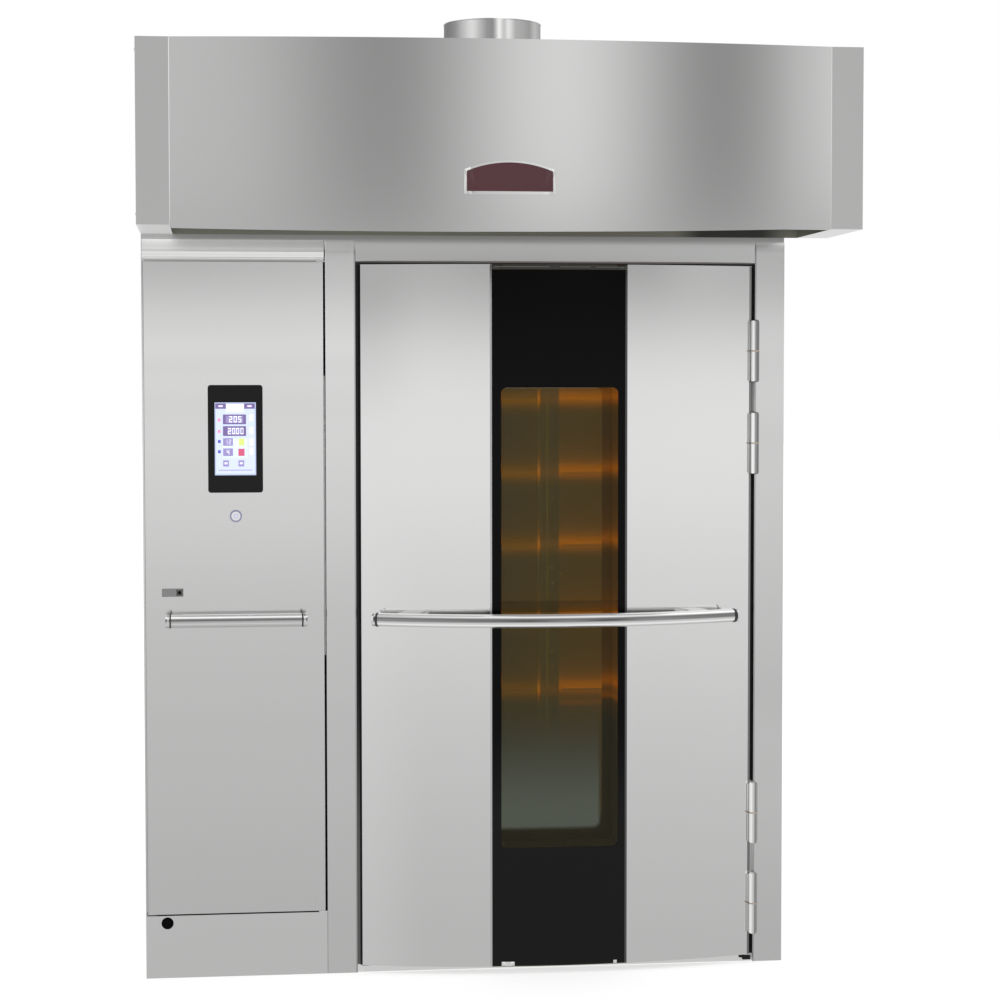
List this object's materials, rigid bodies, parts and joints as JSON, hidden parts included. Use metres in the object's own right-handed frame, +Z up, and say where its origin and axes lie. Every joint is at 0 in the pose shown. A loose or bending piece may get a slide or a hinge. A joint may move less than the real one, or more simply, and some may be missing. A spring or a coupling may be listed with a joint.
{
  "type": "rotating rack oven",
  "caption": "Walk-in rotating rack oven with a bowed windowed door, a control column, a canopy hood with an exhaust collar, and a geared lifting rack carrier.",
  "frame": {"origin": "middle of the oven with its hood, on the floor", "axes": "+Z up, +Y into the oven away from the person at the door, +X to the right as seen from the front"},
  "size_m": [1.952, 2.0198, 2.656],
  "materials": {
    "brushed_steel": "satin brushed stainless sheet",
    "chamber_steel": "heat-toned stainless sheet",
    "door_filling": "wool slab in folded steel edges",
    "polished_steel": "polished stainless",
    "zinc_sheet": "plain bright sheet and bar",
    "drive_paint": "grey machine enamel",
    "exchanger_steel": "heat-tinted tube and sheet",
    "black_rubber": "matt",
    "mineral_wool": "felted wool slab",
    "black_glass": "gloss, black backed",
    "clear_glass": "gloss, warm tinted",
    "lamp_glass": "frosted, lit from behind",
    "screen_frame": "gloss black",
    "screen_glass": "lit display"
  },
  "bodies": {
    "oven_casing": {"base_frame": "zinc_sheet", "chamber_floor": "chamber_steel", "left_side_panel": "brushed_steel", "right_side_panel": "brushed_steel", "back_panel": "brushed_steel", "roof_panel": "brushed_steel", "cabinet_partition": "brushed_steel", "kick_panel": "brushed_steel", "cabinet_head_trim": "brushed_steel", "centre_post": "brushed_steel", "right_post": "brushed_steel", "door_header": "brushed_steel", "door_jamb": "chamber_steel", "door_gasket": "black_rubber", "chamber_left_wall": "chamber_steel", "chamber_right_wall": "chamber_steel", "chamber_ceiling": "chamber_steel", "rear_air_box": "chamber_steel", "air_duct_column": "chamber_steel", "lamp_lenses": "lamp_glass", "insulation": "mineral_wool", "hinge_frame_halves": "polished_steel", "control_door_pivots": "polished_steel", "heat_exchanger": "exchanger_steel", "burner_box": "drive_paint", "blower_housing": "zinc_sheet", "blower_motor": "drive_paint", "electrical_box": "brushed_steel", "bearing_housing": "drive_paint", "drive_motor": "drive_paint", "lift_actuator": "zinc_sheet", "vent_duct": "zinc_sheet", "hood_front_skin": "brushed_steel", "hood_end_boxes": "brushed_steel", "hood_top_panel": "brushed_steel", "hood_back_panel": "brushed_steel", "duct_collar": "zinc_sheet"},
    "oven_door": {"door_left_skin": "brushed_steel", "door_right_skin": "brushed_steel", "door_core": "door_filling", "door_black_glass": "black_glass", "door_window_glass": "clear_glass", "door_liner": "chamber_steel", "door_inner_glass": "clear_glass", "door_handle_bar": "polished_steel", "door_handle_brackets": "polished_steel", "hinge_door_halves": "polished_steel", "door_sweep": "black_rubber"},
    "control_door": {"control_door_panel": "brushed_steel", "control_door_handle": "polished_steel", "touch_bezel": "screen_frame", "touch_display": "screen_glass", "latch_plate": "brushed_steel"},
    "power_switch": {"power_button": "polished_steel"},
    "door_latch": {"latch_cam": "zinc_sheet"},
    "gear_sleeve": {"drive_gear": "drive_paint"},
    "pinion_shaft": {"drive_pinion": "drive_paint"},
    "lift_carrier": {"rack_carrier": "zinc_sheet"},
    "blower_rotor": {"blower_wheel": "drive_paint"},
    "damper_flap": {"vent_damper": "zinc_sheet"}
  },
  "joints": [
    {"name": "oven_door_hinge", "type": "hinge", "parent": "oven_casing", "child": "oven_door", "pos_m": [0.764, -0.581, 0], "axis": [0, 0, 1], "range_deg": [0, 115]},
    {"name": "control_door_hinge", "type": "hinge", "parent": "oven_casing", "child": "control_door", "pos_m": [-0.477, -0.557, 0], "axis": [0, 0, 1], "range_deg": [0, 105]},
    {"name": "power_button_press", "type": "slide", "parent": "control_door", "child": "power_switch", "axis": [0, 1, 0], "range_m": [0, 0.002], "stiffness_N_per_m": 600, "springref_m": -0.0005},
    {"name": "door_latch_turn", "type": "hinge", "parent": "control_door", "child": "door_latch", "pos_m": [-0.876, -0.565, 1.092], "axis": [0, 1, 0], "range_deg": [0, 90]},
    {"name": "rack_rotation", "type": "hinge", "parent": "oven_casing", "child": "gear_sleeve", "pos_m": [0.1935, 0.065, 0], "axis": [0, 0, 1], "continuous": true},
    {"name": "rack_lift", "type": "slide", "parent": "gear_sleeve", "child": "lift_carrier", "axis": [0, 0, 1], "range_m": [0, 0.04]},
    {"name": "pinion_rotation", "type": "hinge", "parent": "oven_casing", "child": "pinion_shaft", "pos_m": [0.1935, 0.215, 0], "axis": [0, 0, 1], "continuous": true},
    {"name": "blower_rotation", "type": "hinge", "parent": "oven_casing", "child": "blower_rotor", "pos_m": [-0.7205, 0.565, 0], "axis": [0, 0, 1], "continuous": true},
    {"name": "damper_turn", "type": "hinge", "parent": "oven_casing", "child": "damper_flap", "pos_m": [-0.976, -0.403, 2.385], "axis": [1, 0, 0], "range_deg": [0, 90]}
  ],
  "couplings": [
    {"joint": "pinion_rotation", "follows": "rack_rotation", "ratio": -4}
  ]
}
